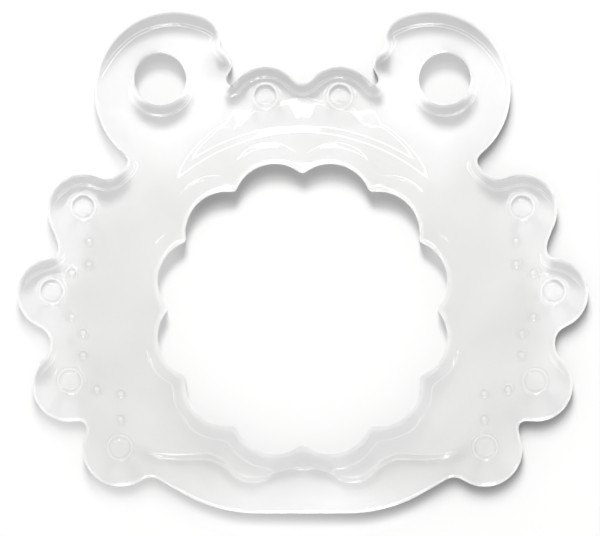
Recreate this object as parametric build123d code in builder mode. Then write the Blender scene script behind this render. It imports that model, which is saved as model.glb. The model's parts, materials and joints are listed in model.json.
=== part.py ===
from build123d import *
from math import cos, radians, sin, sqrt, tan
import os

# Crab-shaped teething ring. It is one clear silicone moulding that lies flat on
# Z = 0 with its claws towards +Y. The moulding is made whole, then divided into
# its named features, which meet face to face.
# Positions in plan are measured from the centre of the large opening.

os.makedirs("parts", exist_ok=True)

# ------------------------------------------------------- driving dimensions, mm
OPENING_Y = -8.175  # the opening's centre, from the middle of the whole outline
TALL = 20.0  # reaches past both faces of the moulding

# the ring is crowned: thickest along its crest, flat from the rim outwards
CREST_RADIUS = 29.2
CREST_HEIGHT = 10.0
RIM_RADIUS = 38.6
RIM_HEIGHT = 8.0
INNER_RADIUS = 22.0  # inside every scallop
OUTER_RADIUS = 60.0  # outside the whole outline
EDGE_ROUND = 1.4  # upper outer edge
FOOT_ROUND = 0.9  # lower edges

# inside corners of the outline
NOTCH_ROUND = 1.2
LOW_NOTCH_ROUND = 0.9  # between legs 3 and 4
SEAM_ROUND = 0.6  # between claw and eye
EYE_NOTCH_ROUND = 2.0  # between the eyes

# scalloped opening
SCALLOPS = 12
SCALLOP_RADIUS = 7.2
SCALLOP_REACH = 26.0  # from the opening's centre to the middle of a scallop
LIP_ROUND = 3.0

# corners of the ring's plain outline on the +X side, hidden under the lobes
# except for the last, at the chin
BODY_TOP = (0.0, 36.2)
BODY_CORNERS = [
    (27.0, 28.8), (38.3, 18.2), (42.7, 15.0), (42.7, 6.0), (44.7, -1.5),
    (43.7, -9.7), (40.0, -16.5), (35.0, -23.5), (30.0, -27.0), (14.9, -35.7),
]
CHIN_ROUND = 26.0

EYE_CENTER = (6.45, 36.0)
EYE_RADIUS = 6.5
EYE_BUTTON = (6.5, 37.2)

# legs from claw to chin: centre and radius of the round end, centre of the button
LEGS = [
    ((38.3, 17.35), 6.33, (38.3, 17.9)),
    ((43.85, 2.7), 6.15, (43.8, 3.2)),
    ((40.9, -13.3), 6.4, (40.6, -12.5)),
    ((31.9, -24.5), 6.6, (31.9, -24.1)),
]

CLAW_CENTER = (22.4, 38.05)
CLAW_RADIUS = 14.0
CLAW_START_ANGLE = -75.0  # inside the ring's plain outline
TIP_RADIUS = 4.34
TIP_ANGLE = 112.1  # where the claw's round back runs into its tip
TIP_END_ANGLE = 235.0  # inside the thumb
THUMB_CENTER = (14.43, 42.8)
THUMB_RADIUS = 2.16
THUMB_ROOT = (14.6, 41.1)
CLAW_SEAM = (11.6, 37.6)  # inside the eye
CLAW_BASE_Y = 30.0  # inside the ring's plain outline
CLAW_HOLE_CENTER = (24.9, 40.25)
CLAW_HOLE_RADIUS = 4.5
CLAW_HOLE_ROUND = 1.5

# the rounded edge of a hole turns this far, then runs on straight through the face
FLARE_ANGLE = 70.0
FLARE_RUN = 6.0
FLARE_SINK = 1.02  # start of the rounding below the face, in roundings

BUTTON_RADIUS = 2.46
BUTTON_PROUD = 0.75
BUTTON_ROUND = 0.6
PIP_RADIUS = 0.75
PIP_PROUD = 0.45
PIP_ROUND = 0.35
# three pips between each two neighbouring legs
PIPS = [
    (37.3, 11.9), (37.3, 7.9), (40.3, 6.3),
    (40.3, -1.3), (38.3, -4.2), (38.3, -8.0),
    (35.9, -14.0), (31.75, -14.8), (31.75, -19.2),
]

# where the moulding is divided: an oval inside the lobes' buttons, rays through
# the notches of the outline, and the thumb's own root
ROOT_OVAL = (40.3, 33.8)  # half width and half height
RAYS = [33.3, 14.3, -7.2, -28.1, -47.6]  # degrees, claw to chin
EYE_SIDE = 12.2
THUMB_REGION = [(11.8, 45.15), (14.6, 45.15), (17.2, 43.0), (14.2, 40.2), (11.8, 40.2)]

# ------------------------------------------------------- worked out from them
OPENING = Plane((0, OPENING_Y, 0))
SECTION = Plane(origin=(0, OPENING_Y, 0), x_dir=(1, 0, 0), z_dir=(0, -1, 0))
UPRIGHT = Axis((0, OPENING_Y, 0), (0, 0, 1))

crown_rise = CREST_HEIGHT - RIM_HEIGHT
crown_reach = RIM_RADIUS - CREST_RADIUS
crown_radius = (crown_reach**2 + crown_rise**2) / (4 * crown_rise)
shoulder = (CREST_RADIUS + crown_reach / 2, RIM_HEIGHT + crown_rise / 2)
scallop_offset = SCALLOP_REACH - SCALLOP_RADIUS
crown_center_z = CREST_HEIGHT - crown_radius
tip_center = (
    CLAW_CENTER[0] + (CLAW_RADIUS - TIP_RADIUS) * cos(radians(TIP_ANGLE)),
    CLAW_CENTER[1] + (CLAW_RADIUS - TIP_RADIUS) * sin(radians(TIP_ANGLE)),
)


def crown_height(x, y):
    """Height of the moulding's top at a place in plan."""
    radius = sqrt(x**2 + y**2)
    if radius >= RIM_RADIUS:
        return RIM_HEIGHT
    if radius > shoulder[0]:
        return RIM_HEIGHT + crown_radius - sqrt(crown_radius**2 - (RIM_RADIUS - radius) ** 2)
    return crown_center_z + sqrt(crown_radius**2 - (radius - CREST_RADIUS) ** 2)


def both_sides(point):
    return [point, (-point[0], point[1])]


def is_side_notch(corner):
    """True for an inside corner of the outline: not the chin, the eyes' or the claw's tip."""
    above_chin = corner.Y > BODY_CORNERS[-1][1] + 1
    return above_chin and corner.Y < tip_center[1] and abs(corner.X) > EYE_NOTCH_ROUND


def notch_round(corner):
    """Radius that an inside corner of the outline is rounded to."""
    x, y = abs(corner.X), corner.Y
    if x < EYE_SIDE + 0.5 and y < THUMB_ROOT[1]:
        return SEAM_ROUND
    if LEGS[3][0][1] < y < LEGS[2][0][1] and x > LEGS[3][0][0]:
        return LOW_NOTCH_ROUND
    return NOTCH_ROUND


def is_upper_edge(edge):
    """True for an edge of the moulding's top that runs along its outline."""
    ends = [edge @ 0, edge @ 0.5, edge @ 1]
    wall = outline.sketch.face().outer_wire()
    on_wall = all(wall.distance_to(Vertex(p.X, p.Y, 0)) < 0.001 for p in ends)
    return on_wall and min(p.Z for p in ends) > RIM_HEIGHT / 2


def ray_end(angle):
    """A point outside the outline, in a direction from the opening's centre."""
    return (2 * OUTER_RADIUS * cos(radians(angle)), 2 * OUTER_RADIUS * sin(radians(angle)))


# ------------------------------------------------------- outline of the moulding
with BuildSketch() as claw_outline:
    with BuildLine():
        back = CenterArc(CLAW_CENTER, CLAW_RADIUS, CLAW_START_ANGLE, TIP_ANGLE - CLAW_START_ANGLE)
        tip = CenterArc(tip_center, TIP_RADIUS, TIP_ANGLE, TIP_END_ANGLE - TIP_ANGLE)
        Polyline([tip @ 1, THUMB_ROOT, CLAW_SEAM, (CLAW_SEAM[0], CLAW_BASE_Y), back @ 0])
    make_face()
    with Locations(THUMB_CENTER):
        Circle(THUMB_RADIUS)

with BuildSketch(OPENING) as outline:
    with BuildLine():
        far_corners = [(-x, y) for x, y in BODY_CORNERS]
        ThreePointArc(far_corners[0], BODY_TOP, BODY_CORNERS[0])
        Polyline(BODY_CORNERS)
        Polyline(far_corners)
        Line(BODY_CORNERS[-1], far_corners[-1])
    make_face()
    with Locations(*both_sides(EYE_CENTER)):
        Circle(EYE_RADIUS)
    for leg_center, leg_radius, _ in LEGS:
        with Locations(*both_sides(leg_center)):
            Circle(leg_radius)
    add(claw_outline.sketch)
    add(mirror(claw_outline.sketch, about=Plane.YZ))
    for notch in outline.vertices().filter_by(is_side_notch):
        corner = outline.vertices().sort_by_distance(notch)[0]
        fillet(corner, notch_round(corner))
    eye_notch = outline.vertices().sort_by_distance((0, EYE_CENTER[1], 0))[0]
    fillet(eye_notch, EYE_NOTCH_ROUND)
    fillet(outline.vertices().group_by(Axis.Y)[0], CHIN_ROUND)

# ------------------------------------------------------- the whole moulding
with BuildPart() as crown:
    with BuildSketch(SECTION):
        with BuildLine():
            inner_top = (INNER_RADIUS, crown_height(INNER_RADIUS, 0))
            rim = (RIM_RADIUS, RIM_HEIGHT)
            half_way = (shoulder[0] + rim[0]) / 2
            ThreePointArc(inner_top, (CREST_RADIUS, CREST_HEIGHT), shoulder)
            ThreePointArc(shoulder, (half_way, crown_height(half_way, 0)), rim)
            Polyline([rim, (OUTER_RADIUS, RIM_HEIGHT), (OUTER_RADIUS, 0), (INNER_RADIUS, 0), inner_top])
        make_face()
    revolve(axis=UPRIGHT)


def flared_hole(radius, top_round, top_z):
    """A cutter for a round hole with rounded edges, from the lower face to a face at top_z."""
    with BuildPart() as cutter:
        with BuildSketch(Plane.XZ):
            with BuildLine():
                foot_z = FOOT_ROUND * FLARE_SINK
                wall = Line((radius, foot_z), (radius, top_z - top_round * FLARE_SINK))
                top = JernArc(wall @ 1, (0, 1), top_round, -FLARE_ANGLE)
                top_flare = Line(top @ 1, (top @ 1) + (top % 1) * FLARE_RUN)
                foot = JernArc(wall @ 0, (0, -1), FOOT_ROUND, FLARE_ANGLE)
                foot_flare = Line(foot @ 1, (foot @ 1) + (foot % 1) * FLARE_RUN)
                Polyline([top_flare @ 1, (0, TALL), (0, -TALL), foot_flare @ 1])
            make_face()
        revolve(axis=Axis.Z)
    return cutter.part


lip_z = crown_height(SCALLOP_REACH + LIP_ROUND, 0)
scallop_cutter = flared_hole(SCALLOP_RADIUS, LIP_ROUND, lip_z)
claw_hole_cutter = flared_hole(CLAW_HOLE_RADIUS, CLAW_HOLE_ROUND, RIM_HEIGHT)

with BuildPart() as moulding:
    add(outline.sketch)
    extrude(amount=TALL)
    add(crown.part, mode=Mode.INTERSECT)
    upper_edges = moulding.edges().filter_by(is_upper_edge)
    fillet(upper_edges, EDGE_ROUND)
    lower_edges = moulding.faces().sort_by(Axis.Z)[0].outer_wire().edges()
    fillet(lower_edges, FOOT_ROUND)
    with Locations(OPENING):
        Cylinder(SCALLOP_REACH - LIP_ROUND, 2 * TALL, mode=Mode.SUBTRACT)
        with PolarLocations(scallop_offset, SCALLOPS, start_angle=180 / SCALLOPS):
            add(scallop_cutter, mode=Mode.SUBTRACT)
        with Locations(*both_sides(CLAW_HOLE_CENTER)):
            add(claw_hole_cutter, mode=Mode.SUBTRACT)


# ------------------------------------------------------- regions of the plan
def wedge(first_angle, last_angle):
    """Corners of the wedge between two rays from the opening's centre."""
    return [(0, 0), ray_end(first_angle), ray_end(last_angle)]


def lobe_region(corners):
    """A tall prism over the part of a polygon that lies outside the root oval."""
    with BuildPart() as prism:
        with BuildSketch(OPENING):
            with BuildLine():
                Polyline(corners, close=True)
            make_face()
            Ellipse(*ROOT_OVAL, mode=Mode.SUBTRACT)
        extrude(amount=TALL, both=True)
    return prism.part


def save(piece, name):
    """Labels a finished piece and writes it to its own file."""
    piece.part.label = name
    export_step(piece.part, f"parts/{name}.step")


def save_pair(piece, name):
    """Writes a piece of the +X side, and its mirror image for the -X side."""
    save(piece, f"right_{name}")
    with BuildPart() as mirrored:
        add(piece.part)
        mirror(about=Plane.YZ, mode=Mode.REPLACE)
    save(mirrored, f"left_{name}")


chin_wedge = wedge(RAYS[-1], -180 - RAYS[-1])

# ------------------------------------------------------- ring and chin
with BuildPart() as ring_body:
    with BuildSketch(OPENING):
        Ellipse(*ROOT_OVAL)
        with BuildLine():
            Polyline(chin_wedge, close=True)
        make_face(mode=Mode.SUBTRACT)
    extrude(amount=TALL, both=True)
    add(moulding.part, mode=Mode.INTERSECT)
save(ring_body, "ring_body")

with BuildPart() as chin_grip:
    with BuildSketch(OPENING):
        with BuildLine():
            Polyline(chin_wedge, close=True)
        make_face()
    extrude(amount=TALL, both=True)
    add(moulding.part, mode=Mode.INTERSECT)
save(chin_grip, "chin_grip")

# ------------------------------------------------------- legs
for number, (first_angle, last_angle) in enumerate(zip(RAYS, RAYS[1:]), start=1):
    with BuildPart() as leg:
        add(moulding.part)
        add(lobe_region(wedge(first_angle, last_angle)), mode=Mode.INTERSECT)
    save_pair(leg, f"leg_{number}")

# ------------------------------------------------------- eyes
eye_corners = [(0, 0), (EYE_SIDE, 0), (EYE_SIDE, OUTER_RADIUS), (0, OUTER_RADIUS)]
with BuildPart() as eye_lobe:
    add(moulding.part)
    add(lobe_region(eye_corners), mode=Mode.INTERSECT)
save_pair(eye_lobe, "eye_lobe")

# ------------------------------------------------------- claws and their thumbs
with BuildPart() as thumb_region:
    with BuildSketch(OPENING):
        with BuildLine():
            Polyline(THUMB_REGION, close=True)
        make_face()
    extrude(amount=TALL, both=True)

with BuildPart() as claw_thumb:
    add(moulding.part)
    add(thumb_region.part, mode=Mode.INTERSECT)
save_pair(claw_thumb, "claw_thumb")

claw_corners = [(EYE_SIDE, EYE_SIDE * tan(radians(RAYS[0]))), ray_end(RAYS[0])]
claw_corners += [(OUTER_RADIUS, 2 * OUTER_RADIUS), (EYE_SIDE, 2 * OUTER_RADIUS)]
with BuildPart() as claw:
    add(moulding.part)
    add(lobe_region(claw_corners), mode=Mode.INTERSECT)
    add(thumb_region.part, mode=Mode.SUBTRACT)
save_pair(claw, "claw")

# ------------------------------------------------------- raised buttons and pips
def raised_discs(centers, radius, proud, edge_round):
    """Round discs with a softened top edge, standing on the moulding at places in plan."""
    with BuildPart() as discs:
        for center in centers:
            top = crown_height(*center) + proud
            with BuildSketch(OPENING.offset(RIM_HEIGHT / 2)):
                with Locations(center):
                    Circle(radius)
            extrude(amount=top - RIM_HEIGHT / 2)
            top_face = discs.faces(Select.LAST).sort_by(Axis.Z)[-1]
            fillet(top_face.edges(), edge_round)
        add(moulding.part, mode=Mode.SUBTRACT)
    return discs


def button_at(center):
    """The button of one lobe."""
    return raised_discs([center], BUTTON_RADIUS, BUTTON_PROUD, BUTTON_ROUND)


for number, (_, _, button_center) in enumerate(LEGS, start=1):
    save_pair(button_at(button_center), f"leg_{number}_button")
save_pair(button_at(EYE_BUTTON), "eye_button")
save_pair(raised_discs(PIPS, PIP_RADIUS, PIP_PROUD, PIP_ROUND), "pips")
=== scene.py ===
import bpy
import json
import math
import numpy as np
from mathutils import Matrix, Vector
from mathutils.geometry import delaunay_2d_cdt


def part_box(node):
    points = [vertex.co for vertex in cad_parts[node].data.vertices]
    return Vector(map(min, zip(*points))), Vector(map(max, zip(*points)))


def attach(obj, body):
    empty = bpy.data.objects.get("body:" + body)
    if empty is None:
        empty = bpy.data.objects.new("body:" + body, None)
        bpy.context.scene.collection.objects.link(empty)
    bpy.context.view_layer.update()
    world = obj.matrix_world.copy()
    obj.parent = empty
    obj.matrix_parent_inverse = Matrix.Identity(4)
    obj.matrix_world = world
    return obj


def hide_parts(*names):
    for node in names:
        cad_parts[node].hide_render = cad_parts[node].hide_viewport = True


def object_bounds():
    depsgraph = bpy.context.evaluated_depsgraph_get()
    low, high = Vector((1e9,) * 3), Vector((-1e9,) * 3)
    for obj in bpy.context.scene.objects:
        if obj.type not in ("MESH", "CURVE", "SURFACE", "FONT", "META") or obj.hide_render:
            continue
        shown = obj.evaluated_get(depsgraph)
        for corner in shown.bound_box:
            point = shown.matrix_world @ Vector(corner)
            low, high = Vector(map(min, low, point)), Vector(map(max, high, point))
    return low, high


# Crab-shaped teething ring in clear silicone, lying on a white surface under a soft
# lamp and two bright tubes. Blender works in metres in the part's own frame. The sizes
# named below are in millimetres, and places in plan are from the centre of the large
# opening, with +Y towards the claws.

MM = 0.001

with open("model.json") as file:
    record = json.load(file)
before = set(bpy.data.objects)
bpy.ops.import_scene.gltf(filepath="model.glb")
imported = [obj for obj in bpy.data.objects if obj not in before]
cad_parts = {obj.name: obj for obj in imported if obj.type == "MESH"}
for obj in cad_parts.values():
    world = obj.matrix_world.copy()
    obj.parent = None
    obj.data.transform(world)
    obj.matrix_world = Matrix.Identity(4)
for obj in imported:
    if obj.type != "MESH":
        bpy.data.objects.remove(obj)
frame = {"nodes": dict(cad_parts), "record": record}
cad_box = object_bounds()
cad_low, cad_high = cad_box

# ------------------------------------------------------- sizes, mm
OPENING_Y = -8.175  # the opening's centre, from the middle of the outline

# the crowned top falls outwards from its crest: in two arcs near the eyes, gently at the sides
CREST_RADIUS = 29.2
CREST_HEIGHT = 10.0
RIM_HEIGHT = 8.0
CROWN_ROUND = 11.5
CROWN_FOOT_ROUND = 4.5
CROWN_TURN = (4.0, 60.0)  # degrees from the claws' side over which the crown grows gentler
SIDE_TURN = (20.0, 80.0)  # and over which its crest sinks
SIDE_SINK = 0.7
SIDE_FALL = 1.0  # from the crest outwards, where the crown is gentle
SIDE_RUN = 19.0

EDGE_ROUND = (3.2, 1.9)  # width and height of the rounded upper edge
FOOT_ROUND = 0.9
# the rounding has its full width round the claws' backs only: share of it on the other lobes
LOBE_ROUND_SHARE = 0.81
LOBE_ROUND_FADE = 1.5  # length over which the width changes
EYE_SIDE = 13.1  # the eyes lie nearer the middle than this
BACK_SLACK = 0.05  # how far an edge point may lie off a claw's round back
THUMB_ROUND_SHARE = 0.56  # and on the thumbs
THUMB_ROUND_FADE = (0.3, 2.8)  # distance from a thumb

SCALLOPS = 12
SCALLOP_RADIUS = 7.2
SCALLOP_REACH = 26.0
LIP_ROUND = (2.7, 2.3)
CUSP_SOFTNESS = 0.4  # length over which the points between scallops are blunted

# a low bead follows the scallops along the lip
BEAD_DEPTH = 2.75  # from the opening's edge
BEAD_HALF_WIDTH = 0.62
BEAD_HEIGHT = 0.26
# a long low pad on each side of the chin
PAD_CENTER = (16.2, -29.3)
PAD_HALF_SIZE = (7.4, 3.1)
PAD_TURN = 27.0  # degrees, rising outwards
PAD_HEIGHT = 0.11
# the lip at the chin is sunk, out to a wavy line: degrees either side of straight down, radius
WAVE = [
    (0, 27.2), (8, 28.1), (15, 31.0), (20, 31.4), (27, 30.0),
    (33, 30.3), (39, 33.2), (46, 36.5), (60, 37.5),
]
WAVE_STEPS = 240
WAVE_SMOOTHING = 60
WAVE_DROP = 0.5
WAVE_WIDTH = 1.5
WAVE_FADE = (44.0, 54.0)  # degrees over which the drop ends

NOTCH_ROUND = 1.6
SEAM_ROUND = 0.8
SEAM_REACH = 4.0  # how far round the claw's seam its notch is tighter
EYE_NOTCH_ROUND = 2.6
BODY_TOP_ARC = ((0.0, -15.0), 51.2)  # centre and radius of the edge behind the eyes
BODY_TOP_HALF_ANGLE = 32.0
BODY_CORNERS = [
    (38.3, 18.2), (42.7, 15.0), (42.7, 6.0), (44.7, -1.5),
    (43.7, -9.7), (40.0, -16.5), (35.0, -23.5), (30.0, -27.0),
]
CHIN_CORNER = (14.9, -35.7)
CHIN_ROUND = 26.0
EYE = ((6.45, 36.0), 6.5)  # centre and radius
# centre and radius of each leg's round end, from claw to chin
LEGS = [
    ((38.3, 17.35), 6.33), ((43.85, 2.7), 6.15),
    ((40.9, -13.3), 6.4), ((31.9, -24.5), 6.6),
]
CLAW_CENTER = (22.4, 38.05)
CLAW_RADIUS = 14.0
CLAW_START_ANGLE = -75.0  # inside the ring's plain outline
TIP_RADIUS = 4.34
TIP_ANGLE = 112.1  # where the claw's round back runs into its tip
TIP_END_ANGLE = 235.0  # inside the thumb
THUMB = ((14.43, 42.8), 2.16)  # centre and radius
THUMB_ROOT = (14.6, 41.1)
CLAW_SEAM = (11.6, 37.6)
CLAW_BASE_Y = 30.0
CLAW_HOLE_ROUND = (2.3, 1.9)

# three pips between each two neighbouring legs
PIPS = [
    (37.3, 11.9), (37.3, 7.9), (40.3, 6.3),
    (40.3, -1.3), (38.3, -4.2), (38.3, -8.0),
    (35.9, -14.0), (31.75, -14.8), (31.75, -19.2),
]
PIP_RADIUS = 0.75
BUTTON_RADIUS = 2.5

# ------------------------------------------------------- tints of the clear body, and painted highlight and shade on its details
BODY_TINT = 0.94
# the raised details from rim to middle: share of the radius, height above the crown, and the colour,
# which paints bright highlight rings and dark shade rings on them
BUTTON_PROFILE = [
    (1.0, 0.0, 0.90), (0.985, 0.2, 0.76), (0.95, 0.42, 0.84), (0.9, 0.58, 1.0),
    (0.84, 0.68, 1.0), (0.78, 0.7, 0.95), (0.73, 0.66, 0.83), (0.68, 0.55, 0.86),
    (0.63, 0.47, 1.0), (0.55, 0.43, 0.975), (0.35, 0.42, 0.965), (0.15, 0.42, 0.97),
]
PIP_PROFILE = [
    (1.0, 0.0, 0.84), (0.93, 0.16, 0.74), (0.8, 0.3, 0.80),
    (0.6, 0.4, 0.95), (0.35, 0.45, 1.0), (0.12, 0.46, 1.0),
]
# painted shade on the small thumbs and along a line outside the chin's wavy one
THUMB_SHADE = 0.17
THUMB_SHADE_REACH = 1.1  # in thumbs' radii
WAVE_SHADE = 0.13
WAVE_SHADE_OUT = 1.1  # outside the chin's wavy line
WAVE_SHADE_WIDTH = 1.1

# ------------------------------------------------------- mesh fineness
LOOP_STEP = 0.42
GRID_STEP = 0.5
STUD_STEP = 0.3
ROUND_STEPS = 9
FOOT_STEPS = 4
WALL_STEPS = 4
HOLD = 0.1  # a loop just inside each rounding keeps its shading from spreading
CLOSEST_LOOPS = 0.02
CLOSEST_POINTS = 1e-7
KEEP_INSIDE = 1  # the triangulation's choice to keep only what the borders enclose
EDGE_SMOOTHING = 4
DIRECTION_SMOOTHING = 3

# ------------------------------------------------------- light through the silicone
PAINTED_SHADE_SHARE = (0.969, 0.969, 0.965, 1)  # light let through each face of the ring's sides, dimmed there as painted shade
PAINTED_GLOW_SHARE = (1.10, 1.10, 1.10, 1)  # and of the claws, above one: a painted pool of light where their narrow form would gather it
# where the faces let more light through, as painted pools of light: start and end of the change, and how
# much
CLAW_GLOW_CENTER = (24.5, 41.0)
CLAW_GLOW = (-16.0, -9.5, 1.0)  # inwards to the claw's middle
TOP_GLOW = (6.0, 38.0, 0.56)  # towards the claws
CHIN_GLOW = (27.0, 33.5, 1.35)  # towards the chin
LOW_LOBE_GLOW = (39.0, 46.0, 0.55)  # outwards
LOBE_GLOW = (38.5, 44.0, 0.70)  # outwards, in the upper lobes
UPPER_LOBES = (-12.0, 0.0)
NOISE_RANGE = {"From_Min": 0.3, "From_Max": 0.7}
MOTTLE_SCALE = 95.0
MOTTLE = 0.25

# bounds between kinds of surface, as changes from one to the next
STEEP = (0.60, 0.87)  # upward part of the surface's direction, from a rounding to a face
UPRIGHT = (0.10, 0.26)  # and from a wall to a rounding
OPENING_ZONE = (29.0, 32.0)  # distance from the opening's centre
OPENING_SIDES = (17.0, 24.0)  # distance to either side
CLAW_HOLE_ZONE = (7.0, 9.0)  # distance from the hole's centre
CLAW_SIDE = (18.0, 34.0)  # from the legs up to the claws
ACROSS = (-40.0, 40.0)  # left to right
RAISED = (0.8, 7.0)  # height on the outer walls
LIFTED = (2.0, 9.5)  # height on the openings' walls

# light let in, and out again, through walls and rounded edges
OPENING_ENTRY = (0.19, 0.33)  # left and right
OPENING_SIDE_ENTRY = 0.55
OPENING_LIFTED_ENTRY = 0.8
OUTER_ENTRY = (0.60, 0.15)  # left and right
CLAW_HOLE_ENTRY = 0.46
OPENING_EXIT = 0.92
LIP_EXIT = 0.86
CLAW_EXIT = 0.55
LEG_EXIT = 0.68
COOLNESS = 1.003  # blue against red and green

# ------------------------------------------------------- surfaces
BODY_COLOUR = (0.997, 1.0, 1.0, 1)
BODY_IOR = 1.41
GLOSS_SCALE = 420.0
GLOSS_ROUGHNESS = (0.015, 0.05)
RIPPLE_SCALE = 160.0
RIPPLE_STRENGTH = 0.25
RIPPLE_DEPTH = 0.12
COAT_IOR = 1.7
COAT_ROUGHNESS = 0.03
FLOOR_SCALE = 6.0
FLOOR_COLOURS = ((0.86, 0.86, 0.855, 1), (0.88, 0.88, 0.875, 1))
FLOOR_IOR = 1.3
FLOOR_ROUGHNESS = 0.9

# ------------------------------------------------------- stage, m, watts and degrees
FLOOR_SIZE = 3.0
FLOOR_GAP = 0.00002
LIGHT_TILT = 25.0  # from straight above, towards the claws
LIGHT_DISTANCE = 1.2
KEY_SIZE = 0.2
KEY_POWER = 14.4
KEY_ASIDE = -0.05  # a little to the left
STRIP_TILTS = (-5.7, 5.7)  # from the light's middle
STRIP_LENGTH = 3.0
STRIP_WIDTH = 0.045
STRIP_POWER = 1.5
SURROUND = 0.30
CAMERA_HEIGHT = 1.4
VIEW_WIDTH = 105.45  # mm of the surface across the image
VIEW_CENTER = (-0.4394, 7.2058)


# ------------------------------------------------------- outline in plan
def smooth_step(value, start, end):
    """Rises smoothly from 0 to 1 as a value goes from start to end."""
    share = np.clip((value - start) / (end - start), 0, 1)
    return share * share * (3 - 2 * share)


def folded(points):
    """Points with the left half folded onto the right, as the halves are mirror images."""
    return np.column_stack([np.abs(points[:, 0]), points[:, 1]])


def disc(points, center, radius):
    """Distance of points outside a disc, negative inside."""
    return np.hypot(points[:, 0] - center[0], points[:, 1] - center[1]) - radius


def polygon(points, corners):
    """Distance of points outside a polygon, negative inside."""
    start = np.array(corners)
    side = np.roll(start, -1, axis=0) - start
    from_start = points[:, None, :] - start
    share = np.clip(np.sum(from_start * side, axis=2) / np.sum(side * side, axis=1), 0, 1)
    gap = from_start - share[:, :, None] * side
    nearest = np.sqrt(np.min(np.sum(gap * gap, axis=2), axis=1))
    end = start + side
    crossed = (start[:, 1] > points[:, 1:]) != (end[:, 1] > points[:, 1:])
    tilt = side[:, 0] / np.where(side[:, 1] == 0, 1, side[:, 1])
    beyond = from_start[:, :, 0] < from_start[:, :, 1] * tilt
    inside = np.sum(crossed & beyond, axis=1) % 2 == 1
    return np.where(inside, -nearest, nearest)


def joined(a, b, inside_round):
    """Distance to two shapes together, with the inside corner between them rounded."""
    reach = np.hypot(np.maximum(inside_round - a, 0), np.maximum(inside_round - b, 0))
    return np.maximum(inside_round, np.minimum(a, b)) - reach


def arc(center, radius, start, end, count=48):
    """Points along an arc, between two angles in degrees."""
    turn = np.radians(np.linspace(start, end, count))
    return [(center[0] + radius * c, center[1] + radius * s) for c, s in zip(np.cos(turn), np.sin(turn))]


def rounded_corner(before, corner, after, radius, count=16):
    """Points along the arc that rounds off one corner of a polygon."""
    before, corner, after = Vector(before), Vector(corner), Vector(after)
    first, second = (before - corner).normalized(), (after - corner).normalized()
    half = first.angle(second) / 2
    center = corner + (first + second).normalized() * (radius / math.sin(half))
    start = (corner + first * (radius / math.tan(half)) - center).normalized()
    end = (corner + second * (radius / math.tan(half)) - center).normalized()
    return [tuple(center + start.slerp(end, i / count) * radius) for i in range(count + 1)]


def body_outline():
    """The ring's plain outline under the lobes, with a rounded chin."""
    top = arc(*BODY_TOP_ARC, 90, 90 - BODY_TOP_HALF_ANGLE, 24)
    chin_middle = (0.0, CHIN_CORNER[1])
    chin = rounded_corner(BODY_CORNERS[-1], CHIN_CORNER, chin_middle, CHIN_ROUND)
    half = top + BODY_CORNERS + chin
    return half + [(-x, y) for x, y in reversed(half)]


def claw_outline():
    """One claw: its round back, its tip and the side towards the eye."""
    tip_turn = math.radians(TIP_ANGLE)
    tip_reach = CLAW_RADIUS - TIP_RADIUS
    tip_center = (
        CLAW_CENTER[0] + tip_reach * math.cos(tip_turn),
        CLAW_CENTER[1] + tip_reach * math.sin(tip_turn),
    )
    back = arc(CLAW_CENTER, CLAW_RADIUS, CLAW_START_ANGLE, TIP_ANGLE, 96)
    tip = arc(tip_center, TIP_RADIUS, TIP_ANGLE, TIP_END_ANGLE)
    return back + tip[1:] + [THUMB_ROOT, CLAW_SEAM, (CLAW_SEAM[0], CLAW_BASE_Y)]


BODY_OUTLINE = body_outline()
CLAW_OUTLINE = claw_outline()


def outline(points):
    """Distance of points outside the whole outline."""
    points = folded(points)
    (eye_x, eye_y), eye_radius = EYE
    eyes = joined(
        disc(points, (eye_x, eye_y), eye_radius),
        disc(points, (-eye_x, eye_y), eye_radius),
        EYE_NOTCH_ROUND,
    )
    claw = joined(polygon(points, CLAW_OUTLINE), disc(points, *THUMB), NOTCH_ROUND)
    whole = np.minimum(polygon(points, BODY_OUTLINE), eyes)
    for leg in LEGS:
        whole = joined(whole, disc(points, *leg), NOTCH_ROUND)
    above_seam = points[:, 1] > CLAW_SEAM[1] - SEAM_REACH
    by_eye = points[:, 0] < CLAW_CENTER[0] - SEAM_REACH
    return joined(whole, claw, np.where(above_seam & by_eye, SEAM_ROUND, NOTCH_ROUND))


def slope(field, points, step=0.02):
    """Gradient of a distance field."""
    dx, dy = np.array([step, 0]), np.array([0, step])
    return np.column_stack([
        field(points + dx) - field(points - dx),
        field(points + dy) - field(points - dy),
    ]) / (2 * step)


def settle(field, points, rounds=3):
    """Moves points onto the field's zero line."""
    for _ in range(rounds):
        g = slope(field, points)
        points = points - g * (field(points) / np.sum(g * g, axis=1))[:, None]
    return points


def trace(field, start, step):
    """Evenly spaced points once round the field's zero line, anticlockwise."""
    points = [settle(field, np.array([start], float))]
    while len(points) < 5 or np.linalg.norm(points[-1] - points[0]) > step:
        g = slope(field, points[-1])
        along = np.column_stack([-g[:, 1], g[:, 0]]) / np.linalg.norm(g)
        points.append(settle(field, points[-1] + along * step, 1))
    line = np.vstack(points + [points[0]])
    lengths = np.concatenate([[0], np.cumsum(np.linalg.norm(np.diff(line, axis=0), axis=1))])
    at = np.linspace(0, lengths[-1], int(lengths[-1] / step), endpoint=False)
    even = np.column_stack([np.interp(at, lengths, line[:, 0]), np.interp(at, lengths, line[:, 1])])
    return settle(field, even)


def smoothed(loop, rounds):
    """A closed loop of vectors, each averaged with its neighbours."""
    for _ in range(rounds):
        loop = (np.roll(loop, 1, axis=0) + 2 * loop + np.roll(loop, -1, axis=0)) / 4
    return loop


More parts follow.
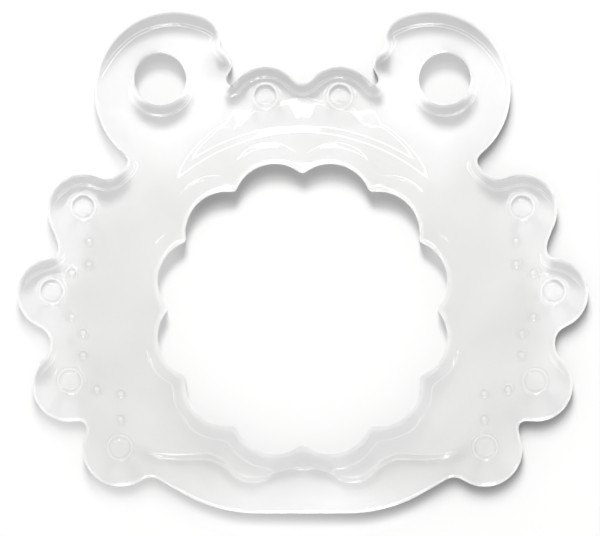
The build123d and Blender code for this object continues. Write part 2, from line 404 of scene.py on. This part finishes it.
def outline_loops(depths):
    """The outline's loop, and loops inside it at the given depths, closer together off the claws."""
    edge = smoothed(trace(outline, (0.0, CHIN_CORNER[1]), LOOP_STEP), EDGE_SMOOTHING)
    along = np.roll(edge, -1, axis=0) - np.roll(edge, 1, axis=0)
    out = smoothed(np.column_stack([along[:, 1], -along[:, 0]]), DIRECTION_SMOOTHING)
    out /= np.linalg.norm(out, axis=1)[:, None]
    places = folded(edge)
    off_back = disc(places, CLAW_CENTER, CLAW_RADIUS) - BACK_SLACK
    on_eye = EYE_SIDE - places[:, 0]
    off_claw = smooth_step(np.maximum(off_back, on_eye), 0, LOBE_ROUND_FADE)
    share = 1 - (1 - LOBE_ROUND_SHARE) * off_claw
    off_thumb = smooth_step(disc(places, *THUMB), *THUMB_ROUND_FADE)
    share = THUMB_ROUND_SHARE + (share - THUMB_ROUND_SHARE) * off_thumb
    out *= share[:, None]
    return [edge - out * depth for depth in depths]


def opening_reach(turn, depth):
    """How far the opening's scalloped edge, or a parallel to it, lies in a direction."""
    spacing = 2 * np.pi / SCALLOPS
    offset, radius = SCALLOP_REACH - SCALLOP_RADIUS, SCALLOP_RADIUS + depth
    first = turn % spacing - spacing / 2  # from the middle of the nearest scallop
    second = spacing - np.abs(first)
    near, far = [
        offset * np.cos(away) + np.sqrt(np.maximum(radius**2 - (offset * np.sin(away)) ** 2, 0))
        for away in (first, second)
    ]
    return CUSP_SOFTNESS * np.logaddexp(near / CUSP_SOFTNESS, far / CUSP_SOFTNESS)


def opening_loops(depths):
    """The opening's scalloped edge, clockwise, and its parallels outside it."""
    count = int(2 * math.pi * SCALLOP_REACH / LOOP_STEP / SCALLOPS / 2) * SCALLOPS * 2
    turn = -np.arange(count) * 2 * np.pi / count
    loops = []
    for depth in depths:
        reach = opening_reach(turn, depth)
        loops.append(np.column_stack([reach * np.cos(turn), reach * np.sin(turn)]))
    return loops


def circle_loops(center, radii, step, clockwise):
    """Rings about a point."""
    count = 4 * int(2 * math.pi * max(radii) / step / 4)
    turn = np.arange(count) * 2 * np.pi / count * (-1 if clockwise else 1)
    ring = np.column_stack([np.cos(turn), np.sin(turn)])
    return [np.array(center) + ring * radius for radius in radii]


# ------------------------------------------------------- heights
def lean(points, upward):
    """Degrees that a direction leans to either side of straight up or straight down in plan."""
    return np.degrees(np.arctan2(np.abs(points[:, 0]), points[:, 1] * (1 if upward else -1)))


def crown_height(points):
    """Height of the ring's crowned top, highest along its crest."""
    side = lean(points, True)
    gentle = smooth_step(side, *CROWN_TURN)
    drop = (CREST_HEIGHT - RIM_HEIGHT) * (1 - gentle)
    steepest = np.arccos(1 - drop / (CROWN_ROUND + CROWN_FOOT_ROUND))
    shoulder, foot = CROWN_ROUND * np.sin(steepest), CROWN_FOOT_ROUND * np.sin(steepest)
    run = np.hypot(points[:, 0], points[:, 1]) - CREST_RADIUS
    near_crest = np.clip(run, -CROWN_ROUND, shoulder)
    convex = CREST_HEIGHT - CROWN_ROUND + np.sqrt(CROWN_ROUND**2 - near_crest**2)
    left = np.clip(shoulder + foot - run, 0, foot)
    concave = CREST_HEIGHT - drop + CROWN_FOOT_ROUND - np.sqrt(CROWN_FOOT_ROUND**2 - left**2)
    sink = SIDE_SINK * smooth_step(side, *SIDE_TURN)
    fall = SIDE_FALL * gentle * smooth_step(run, 0, SIDE_RUN)
    return np.where(run > shoulder, concave, convex) - sink - fall


def bead_height(points):
    """Height of the bead along the lip."""
    turn = np.arctan2(points[:, 1], points[:, 0])
    depth = np.hypot(points[:, 0], points[:, 1]) - opening_reach(turn, 0)
    return BEAD_HEIGHT * np.exp(-(((depth - BEAD_DEPTH) / BEAD_HALF_WIDTH) ** 2))


def pad_height(points):
    """Height of the chin's two pads."""
    turn = math.radians(PAD_TURN)
    x, y = (folded(points) - PAD_CENTER).T
    along = (x * math.cos(turn) + y * math.sin(turn)) / PAD_HALF_SIZE[0]
    across = (y * math.cos(turn) - x * math.sin(turn)) / PAD_HALF_SIZE[1]
    return PAD_HEIGHT * smooth_step(1 - (along**2 + across**2), 0, 1)


def wavy_line():
    """The chin's wavy line, smoothed: degrees either side of straight down, and radii."""
    angles, radii = zip(*WAVE)
    fine = np.linspace(0, angles[-1], WAVE_STEPS)
    line = np.interp(fine, angles, radii)
    for _ in range(WAVE_SMOOTHING):
        mirrored = np.concatenate([line[1:2], line, line[-1:]])
        line = np.convolve(mirrored, [0.25, 0.5, 0.25], "valid")
    return fine, line


WAVY_LINE = wavy_line()


def beyond_wave(points):
    """How far outside the chin's wavy line points lie, and how much of the line is there."""
    side = lean(points, False)
    beyond = np.hypot(points[:, 0], points[:, 1]) - np.interp(side, *WAVY_LINE)
    return beyond, 1 - smooth_step(side, *WAVE_FADE)


def wave_depth(points):
    """How far the lip is sunk inside the chin's wavy line."""
    beyond, fade = beyond_wave(points)
    return WAVE_DROP * fade * (1 - smooth_step(beyond, -WAVE_WIDTH / 2, WAVE_WIDTH / 2))


def top_height(points):
    """Height of the moulding's top with its relief."""
    return crown_height(points) + bead_height(points) + pad_height(points) - wave_depth(points)


def painted_shade(points):
    """Painted shade that makes the small thumbs, and a line outside the chin's wavy one, darker than the
    rest.
    """
    center, radius = THUMB
    away = disc(folded(points), center, 0) / radius / THUMB_SHADE_REACH
    thumb = THUMB_SHADE * np.exp(-(away**4))
    beyond, fade = beyond_wave(points)
    wave = WAVE_SHADE * fade * np.exp(-(((beyond - WAVE_SHADE_OUT) / WAVE_SHADE_WIDTH) ** 2))
    return (1 - thumb) * (1 - wave)


def round_drop(depth, width, height):
    """How far a rounded edge lies under the face it rounds, at a depth inside the wall."""
    left = min(max(1 - depth / width, 0), 1)
    return height * (1 - math.sqrt(1 - left**2))


def round_depths(width):
    """Depths of the loops that carry a wall's upper and lower rounded edges."""
    upper = width * (1 - np.cos(np.linspace(0, np.pi / 2, ROUND_STEPS + 1)))
    lower = FOOT_ROUND * (1 - np.cos(np.linspace(0, np.pi / 2, FOOT_STEPS + 1)))
    depths = sorted(set(np.round(np.concatenate([upper, lower]), 3)))
    apart = [depths[0]]
    for depth in depths[1:]:
        if depth - apart[-1] > CLOSEST_LOOPS or depth == depths[-1]:
            apart.append(depth)
    return apart + [width + HOLD]


# ------------------------------------------------------- the moulding's mesh
class Plan:
    """The moulding seen in plan: points, each with a top and a bottom height, and faces."""

    def __init__(self):
        self.points, self.tops, self.feet, self.tints_and_painted_light = [], [], [], []
        self.faces, self.walls, self.borders = [], [], []
        self.count = 0

    def add(self, points, lift, foot, tint_and_painted_light=BODY_TINT):
        """Adds points at heights above the top and above the floor."""
        points = np.asarray(points, float)
        self.points.append(points)
        self.tops.append(top_height(points) + lift)
        self.feet.append(np.full(len(points), float(foot)))
        # the stored colour is the body's tint, with painted shade on the thumbs and the chin's line and
        # the details' painted highlight and shade rings
        self.tints_and_painted_light.append(tint_and_painted_light * painted_shade(points))
        self.count += len(points)
        return list(range(self.count - len(points), self.count))

    def band(self, outer, inner):
        """Four-sided faces between two loops that run anticlockwise about the inner one."""
        for i in range(len(outer)):
            j = (i + 1) % len(outer)
            self.faces.append((outer[i], outer[j], inner[j], inner[i]))

    def wall(self, loops, width, height):
        """The rounded edges along a wall, and the wall; the last loop borders the top face."""
        rows = []
        for depth, loop in zip(round_depths(width), loops):
            foot = round_drop(depth, FOOT_ROUND, FOOT_ROUND)
            rows.append(self.add(loop, -round_drop(depth, width, height), foot))
        for outer, inner in zip(rows, rows[1:]):
            self.band(outer, inner)
        self.walls.append(rows[0])
        self.borders.append(rows[-1])

    def stud(self, center, radius, profile):
        """A raised round detail, from its rim in to its middle."""
        radii = [radius * share for share, _, _ in profile]
        rows = []
        # each ring's colour paints a highlight ring or a shade ring on the detail
        for loop, (_, lift, tint_and_painted_light) in zip(circle_loops(center, radii, STUD_STEP, False), profile):
            rows.append(self.add(loop, lift, 0, tint_and_painted_light))
        for outer, inner in zip(rows, rows[1:]):
            self.band(outer, inner)
        _, lift, tint_and_painted_light = profile[-1]
        middle = self.add([center], lift, 0, tint_and_painted_light)[0]
        last = rows[-1]
        self.faces += [(last[i - 1], last[i], middle) for i in range(len(last))]
        self.borders.append(rows[0])

    def fill(self, clear_of_holes):
        """Triangles over a regular field of points, within the borders."""
        low, high = np.vstack(self.points).min(0), np.vstack(self.points).max(0)
        row_gap = GRID_STEP * math.sqrt(3) / 2
        field = []
        for row, y in enumerate(np.arange(low[1], high[1], row_gap)):
            x = np.arange(low[0] + (row % 2) * GRID_STEP / 2, high[0], GRID_STEP)
            field.append(np.column_stack([x, np.full(len(x), y)]))
        field = np.vstack(field)
        gap = GRID_STEP / 2
        field = field[outline(field) < -(EDGE_ROUND[0] + HOLD + gap)]
        field = field[clear_of_holes(field, gap)]
        border = [i for loop in self.borders for i in loop]
        known = np.vstack(self.points)[border]
        number = dict(enumerate(border + self.add(field, 0, 0)))
        edges, start = [], 0
        for loop in self.borders:
            edges += [(start + i, start + (i + 1) % len(loop)) for i in range(len(loop))]
            start += len(loop)
        flat = [Vector(p) for p in np.vstack([known, field])]
        made, _, triangles, origin, _, _ = delaunay_2d_cdt(flat, edges, [], KEEP_INSIDE, CLOSEST_POINTS)
        places = np.array([tuple(v) for v in made])
        middles = np.array([places[list(t)].mean(0) for t in triangles])
        for triangle, kept in zip(triangles, clear_of_holes(middles, 0)):
            if kept:
                self.faces.append(tuple(number[origin[i][0]] for i in triangle))

    def mesh(self, name):
        """The closed mesh: top, underside and walls."""
        points, tops, feet = np.vstack(self.points), np.hstack(self.tops), np.hstack(self.feet)
        tints_and_painted_light = list(np.hstack(self.tints_and_painted_light)) * 2
        vertices = [(x, y, z) for (x, y), z in zip(points, tops)]
        vertices += [(x, y, z) for (x, y), z in zip(points, feet)]
        faces = list(self.faces)
        faces += [tuple(i + self.count for i in reversed(face)) for face in self.faces]
        for loop in self.walls:
            rows = [loop]
            for step in range(1, WALL_STEPS):
                share = step / WALL_STEPS
                rows.append(list(range(len(vertices), len(vertices) + len(loop))))
                for i in loop:
                    height = tops[i] + (feet[i] - tops[i]) * share
                    vertices.append((points[i, 0], points[i, 1], height))
                    tints_and_painted_light.append(tints_and_painted_light[i])
            rows.append([i + self.count for i in loop])
            for upper, lower in zip(rows, rows[1:]):
                for i in range(len(loop)):
                    j = (i + 1) % len(loop)
                    faces.append((upper[i], lower[i], lower[j], upper[j]))
        made = bpy.data.meshes.new(name)
        shift = np.array([0, OPENING_Y, 0])
        made.from_pydata([tuple((np.array(v) + shift) * MM) for v in vertices], [], faces)
        made.attributes.new("tint_and_painted_light", "FLOAT", "POINT").data.foreach_set("value", tints_and_painted_light)
        made.validate()
        made.shade_smooth()
        return made


def node_middle(name):
    """Middle of a CAD node in plan."""
    low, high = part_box(name)
    middle = (low + high) / 2 / MM
    return (middle.x, middle.y - OPENING_Y)


def claw_holes():
    """Centre and radius of each claw's hole, from the record."""
    holes = []
    for mount in frame["record"]["mounts"]:
        if mount["kind"] == "bore":
            x, y, _ = mount["pos_m"]
            holes.append(((x / MM, y / MM - OPENING_Y), mount["dims"]["r_mm"]))
    return holes


def make_moulding():
    """The whole moulding as one closed mesh."""
    buttons = [node_middle(n) for n in sorted(frame["nodes"]) if n.endswith("_button")]
    pips = [(side * x, y) for side in (-1, 1) for x, y in PIPS]
    studs = [(c, BUTTON_RADIUS) for c in buttons] + [(c, PIP_RADIUS) for c in pips]
    holes = claw_holes()

    def clear_of_holes(points, gap):
        """True for points a gap or more outside every border but the outline's."""
        turn = np.arctan2(points[:, 1], points[:, 0])
        reach = np.hypot(points[:, 0], points[:, 1])
        kept = reach > opening_reach(turn, LIP_ROUND[0] + HOLD) + gap
        for center, radius in holes:
            kept &= disc(points, center, radius + CLAW_HOLE_ROUND[0] + HOLD) > gap
        for center, radius in studs:
            kept &= disc(points, center, radius) > gap
        return kept

    plan = Plan()
    plan.wall(outline_loops(round_depths(EDGE_ROUND[0])), *EDGE_ROUND)
    plan.wall(opening_loops(round_depths(LIP_ROUND[0])), *LIP_ROUND)
    for center, radius in holes:
        radii = [radius + depth for depth in round_depths(CLAW_HOLE_ROUND[0])]
        plan.wall(circle_loops(center, radii, LOOP_STEP, True), *CLAW_HOLE_ROUND)
    for center in buttons:
        plan.stud(center, BUTTON_RADIUS, BUTTON_PROFILE)
    for center in pips:
        plan.stud(center, PIP_RADIUS, PIP_PROFILE)
    plan.fill(clear_of_holes)
    moulding = bpy.data.objects.new("moulding", plan.mesh("moulding"))
    bpy.context.scene.collection.objects.link(moulding)
    return moulding


# ------------------------------------------------------- shader helpers
def node(tree, kind, **values):
    """A shader node with its properties and unlinked inputs set."""
    made = tree.nodes.new(kind)
    for key, value in values.items():
        if hasattr(made, key):
            setattr(made, key, value)
        else:
            made.inputs[key.replace("_", " ")].default_value = value
    return made


def new_material(name):
    """An empty node material, its tree and its output node."""
    material = bpy.data.materials.new(name)
    material.use_nodes = True
    material.node_tree.nodes.clear()
    return material, material.node_tree, material.node_tree.nodes.new("ShaderNodeOutputMaterial")


def math_node(tree, operation, a, b=None):
    """A sum done on a node output, with a second output or a number where it needs one."""
    made = node(tree, "ShaderNodeMath", operation=operation)
    tree.links.new(a, made.inputs[0])
    if isinstance(b, float):
        made.inputs[1].default_value = b
    elif b is not None:
        tree.links.new(b, made.inputs[1])
    return made.outputs["Value"]


def rising(tree, value, start, end, strength=1.0):
    """Rises smoothly from 0 to a strength as a node output goes from start to end."""
    fade = node(
        tree, "ShaderNodeMapRange", interpolation_type="SMOOTHSTEP",
        From_Min=start, From_Max=end, To_Max=strength,
    )
    tree.links.new(value, fade.inputs["Value"])
    return fade.outputs["Result"]


def mixed(tree, factor, a, b):
    """A colour between two colours or node outputs."""
    mix = node(tree, "ShaderNodeMix", data_type="RGBA")
    for socket, value in (("A", a), ("B", b)):
        if isinstance(value, tuple):
            mix.inputs[socket].default_value = value
        else:
            tree.links.new(value, mix.inputs[socket])
    tree.links.new(factor, mix.inputs["Factor"])
    return mix.outputs["Result"]


def grey(share):
    """A nearly neutral colour."""
    return (share, share, share * COOLNESS, 1)


def noise(tree, scale, detail, roughness=0.5):
    """Noise fixed to the object."""
    place = node(tree, "ShaderNodeTexCoord")
    made = node(tree, "ShaderNodeTexNoise", Scale=scale, Detail=detail, Roughness=roughness)
    tree.links.new(place.outputs["Object"], made.inputs["Vector"])
    return made.outputs["Fac"]


def noise_between(tree, value, low, high):
    """Noise brought between two numbers."""
    made = node(tree, "ShaderNodeMapRange", **NOISE_RANGE, To_Min=low, To_Max=high)
    tree.links.new(value, made.inputs["Value"])
    return made.outputs["Result"]


def plan_place(tree):
    """Node outputs for places on the ring, mm: across, aside, up and radius in plan, and height.

    Aside is across without its sign, and folded is the place with the left half folded over.
    """
    place = node(tree, "ShaderNodeTexCoord")
    scaled = node(tree, "ShaderNodeVectorMath", operation="SCALE", Scale=1 / MM)
    tree.links.new(place.outputs["Object"], scaled.inputs["Vector"])
    split = node(tree, "ShaderNodeSeparateXYZ")
    tree.links.new(scaled.outputs["Vector"], split.inputs["Vector"])
    across, height = split.outputs["X"], split.outputs["Z"]
    aside = math_node(tree, "ABSOLUTE", across)
    up = math_node(tree, "SUBTRACT", split.outputs["Y"], OPENING_Y)
    half = node(tree, "ShaderNodeCombineXYZ")
    tree.links.new(aside, half.inputs["X"])
    tree.links.new(up, half.inputs["Y"])
    radius = node(tree, "ShaderNodeVectorMath", operation="LENGTH")
    tree.links.new(half.outputs["Vector"], radius.inputs[0])
    return {
        "across": across, "aside": aside, "up": up, "radius": radius.outputs["Value"],
        "height": height, "folded": half.outputs["Vector"],
    }


def distance_from(tree, place, middle):
    """Distance in plan from a place on the nearer claw."""
    away = node(tree, "ShaderNodeVectorMath", operation="DISTANCE")
    tree.links.new(place["folded"], away.inputs[0])
    away.inputs[1].default_value = (abs(middle[0]), middle[1], 0)
    return away.outputs["Value"]


# ------------------------------------------------------- materials
def painted_glow_share(tree, place):
    """How much light the faces let through, painted by place as pools of light and shade: least at the
    ring's sides, most in the claws.
    """
    inward = math_node(tree, "MULTIPLY", distance_from(tree, place, CLAW_GLOW_CENTER), -1.0)
    downward = math_node(tree, "MULTIPLY", place["up"], -1.0)
    lobes = rising(tree, place["radius"], *LOBE_GLOW)
    most = math_node(tree, "MULTIPLY", lobes, rising(tree, place["up"], *UPPER_LOBES))
    for value, glow in (
        (inward, CLAW_GLOW), (place["up"], TOP_GLOW),
        (downward, CHIN_GLOW), (place["radius"], LOW_LOBE_GLOW),
    ):
        most = math_node(tree, "MAXIMUM", most, rising(tree, value, *glow))
    mottle = noise_between(tree, noise(tree, MOTTLE_SCALE, 2.0), -MOTTLE, MOTTLE)
    share = node(tree, "ShaderNodeMix", data_type="RGBA", clamp_factor=False)
    share.inputs["A"].default_value = PAINTED_SHADE_SHARE
    share.inputs["B"].default_value = PAINTED_GLOW_SHARE
    tree.links.new(math_node(tree, "ADD", most, mottle), share.inputs["Factor"])
    return share.outputs["Result"]


def light_entry(tree, place, outside):
    """How much light comes in through walls and rounded edges."""
    rightward = rising(tree, place["across"], *ACROSS)
    lifted = rising(tree, place["height"], *LIFTED)
    opening = mixed(tree, rightward, grey(OPENING_ENTRY[0]), grey(OPENING_ENTRY[1]))
    opening = mixed(tree, lifted, opening, grey(OPENING_LIFTED_ENTRY))
    at_side = rising(tree, place["aside"], *OPENING_SIDES)
    opening = mixed(tree, at_side, opening, grey(OPENING_SIDE_ENTRY))
    outer = mixed(tree, rightward, grey(OUTER_ENTRY[0]), grey(OUTER_ENTRY[1]))
    outer = mixed(tree, rising(tree, place["height"], *RAISED), outer, grey(1.0))
    claw_hole = mixed(tree, lifted, grey(CLAW_HOLE_ENTRY), grey(OPENING_LIFTED_ENTRY))
    from_hole = distance_from(tree, place, claw_holes()[0][0])
    off_hole = rising(tree, from_hole, *CLAW_HOLE_ZONE)
    return mixed(tree, off_hole, claw_hole, mixed(tree, outside, opening, outer))


def light_share(tree):
    """How much of the lamps' light each part of the surface lets through."""
    place = plan_place(tree)
    outside = rising(tree, place["radius"], *OPENING_ZONE)
    entry = light_entry(tree, place, outside)
    on_claws = rising(tree, place["up"], *CLAW_SIDE)
    outer_exit = mixed(tree, on_claws, grey(LEG_EXIT), grey(CLAW_EXIT))
    surface = node(tree, "ShaderNodeNewGeometry")
    leaving = surface.outputs["Backfacing"]
    direction = node(tree, "ShaderNodeSeparateXYZ")
    tree.links.new(surface.outputs["Normal"], direction.inputs["Vector"])
    level = math_node(tree, "ABSOLUTE", direction.outputs["Z"])
    wall = mixed(tree, leaving, entry, mixed(tree, outside, grey(OPENING_EXIT), outer_exit))
    rounding = mixed(tree, leaving, entry, mixed(tree, outside, grey(LIP_EXIT), outer_exit))
    top = mixed(tree, rising(tree, level, *STEEP), rounding, painted_glow_share(tree, place))
    return mixed(tree, rising(tree, level, *UPRIGHT), wall, top)


def glass_shader(tree):
    """The clear silicone as it is seen: faint ripples, uneven gloss, and painted highlight and shade on
    its details.
    """
    glass = node(
        tree, "ShaderNodeBsdfPrincipled", IOR=BODY_IOR, Transmission_Weight=1.0,
        Coat_Weight=1.0, Coat_Roughness=COAT_ROUGHNESS, Coat_IOR=COAT_IOR,
    )
    gloss = noise_between(tree, noise(tree, GLOSS_SCALE, 3.0, 0.55), *GLOSS_ROUGHNESS)
    tree.links.new(gloss, glass.inputs["Roughness"])
    bump = node(tree, "ShaderNodeBump", Strength=RIPPLE_STRENGTH, Distance=RIPPLE_DEPTH * MM)
    tree.links.new(noise(tree, RIPPLE_SCALE, 2.0), bump.inputs["Height"])
    tree.links.new(bump.outputs["Normal"], glass.inputs["Normal"])
    # per-point colour: the body's tint, with painted highlight and shade on the details
    tint_and_painted_light = node(tree, "ShaderNodeAttribute", attribute_name="tint_and_painted_light")
    hue = node(tree, "ShaderNodeMix", data_type="RGBA", blend_type="MULTIPLY")
    hue.inputs["Factor"].default_value = 1.0
    hue.inputs["A"].default_value = BODY_COLOUR
    tree.links.new(tint_and_painted_light.outputs["Fac"], hue.inputs["B"])
    tree.links.new(hue.outputs["Result"], glass.inputs["Base Color"])
    return glass.outputs["BSDF"]


def silicone_material():
    """Clear silicone, which lets the lamps' light through to the surface under it."""
    material, tree, output = new_material("clear_silicone")
    through = node(tree, "ShaderNodeBsdfTransparent")
    tree.links.new(light_share(tree), through.inputs["Color"])
    path = node(tree, "ShaderNodeLightPath")
    lighting = math_node(
        tree, "MAXIMUM", path.outputs["Is Shadow Ray"], path.outputs["Is Diffuse Ray"],
    )
    mix = node(tree, "ShaderNodeMixShader")
    tree.links.new(lighting, mix.inputs["Fac"])
    tree.links.new(glass_shader(tree), mix.inputs[1])
    tree.links.new(through.outputs["BSDF"], mix.inputs[2])
    tree.links.new(mix.outputs["Shader"], output.inputs["Surface"])
    return material


def floor_material():
    """Plain white studio surface with a trace of mottling."""
    material, tree, output = new_material("white_floor")
    mottle = node(tree, "ShaderNodeTexNoise", Scale=FLOOR_SCALE, Detail=2.0)
    matt = node(tree, "ShaderNodeBsdfPrincipled", Roughness=FLOOR_ROUGHNESS, IOR=FLOOR_IOR)
    tree.links.new(mixed(tree, mottle.outputs["Fac"], *FLOOR_COLOURS), matt.inputs["Base Color"])
    tree.links.new(matt.outputs["BSDF"], output.inputs["Surface"])
    return material


# ------------------------------------------------------- stage
def make_floor():
    """The white surface that the ring lies on."""
    half = FLOOR_SIZE / 2
    corners = [(-half, -half, 0), (half, -half, 0), (half, half, 0), (-half, half, 0)]
    mesh = bpy.data.meshes.new("floor")
    mesh.from_pydata(corners, [], [(0, 1, 2, 3)])
    mesh.materials.append(floor_material())
    floor = bpy.data.objects.new("floor", mesh)
    bpy.context.scene.collection.objects.link(floor)
    floor.location.z = cad_low.z - FLOOR_GAP


def add_light(name, tilt, width, depth, power, aside=0.0):
    """A rectangular lamp that leans towards the claws and faces the ring."""
    light = bpy.data.lights.new(name, "AREA")
    light.shape = "RECTANGLE"
    light.size, light.size_y = width, depth
    light.energy = power
    lamp = bpy.data.objects.new(name, light)
    turn = math.radians(tilt)
    lamp.location = (aside, LIGHT_DISTANCE * math.sin(turn), LIGHT_DISTANCE * math.cos(turn))
    lamp.rotation_euler = (-turn, 0, 0)
    bpy.context.scene.collection.objects.link(lamp)
    return lamp


def make_surround():
    """A pale surround, white where it is seen and dimmer as a light."""
    world = bpy.data.worlds.new("surround")
    bpy.context.scene.world = world
    world.use_nodes = True
    tree = world.node_tree
    back = tree.nodes["Background"]
    back.inputs["Strength"].default_value = 1.0
    path = node(tree, "ShaderNodeLightPath")
    dim = (SURROUND, SURROUND, SURROUND, 1)
    seen = mixed(tree, path.outputs["Is Camera Ray"], dim, (1, 1, 1, 1))
    tree.links.new(seen, back.inputs["Color"])


def make_lights():
    """A soft key lamp high on the claws' side, which casts the shadows, and two bright tubes."""
    key = add_light("key", LIGHT_TILT, KEY_SIZE, KEY_SIZE, KEY_POWER, KEY_ASIDE)
    key.visible_glossy = False
    for number, tilt in enumerate(STRIP_TILTS):
        strip = add_light(f"strip_{number}", LIGHT_TILT + tilt, STRIP_LENGTH, STRIP_WIDTH, STRIP_POWER)
        strip.visible_diffuse = False
    make_surround()


def make_camera():
    """A long lens straight above the ring."""
    camera = bpy.data.cameras.new("camera")
    camera.lens = camera.sensor_width * CAMERA_HEIGHT / (VIEW_WIDTH * MM)
    viewer = bpy.data.objects.new("camera", camera)
    x, y = VIEW_CENTER
    viewer.location = (x * MM, (y + OPENING_Y) * MM, CAMERA_HEIGHT)
    bpy.context.scene.collection.objects.link(viewer)
    bpy.context.scene.camera = viewer


make_camera()
make_floor()
make_lights()
moulding = make_moulding()
moulding.data.materials.append(silicone_material())
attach(moulding, "root")
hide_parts(*sorted(frame["nodes"]))

scene = bpy.context.scene
scene.view_settings.view_transform = "Standard"
scene.cycles.max_bounces = 16
scene.cycles.transmission_bounces = 14
scene.cycles.transparent_max_bounces = 24
scene.cycles.caustics_reflective = False
scene.cycles.caustics_refractive = False
